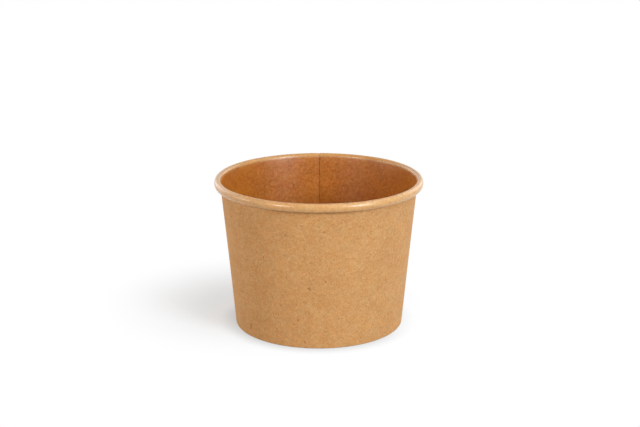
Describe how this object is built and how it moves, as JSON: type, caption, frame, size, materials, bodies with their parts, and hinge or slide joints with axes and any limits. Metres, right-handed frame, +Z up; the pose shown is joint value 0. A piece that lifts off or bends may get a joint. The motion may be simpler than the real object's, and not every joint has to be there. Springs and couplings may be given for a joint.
{
  "type": "paper soup cup",
  "caption": "Short tapered kraft paper soup cup with a rolled rim, a lapped side seam and a recessed base held in a turned-under hem.",
  "frame": {"origin": "on the cup's axis, on the table that it stands on", "axes": "+Z up along the axis; +Y towards the lapped side seam"},
  "size_m": [0.098, 0.098, 0.0707],
  "materials": {
    "wall_board": "matt unbleached kraft outside, film-coated inside",
    "base_board": "unbleached kraft, film-coated on the food side"
  },
  "bodies": {
    "root": {"sidewall": "wall_board", "base": "base_board"}
  },
  "joints": []
}
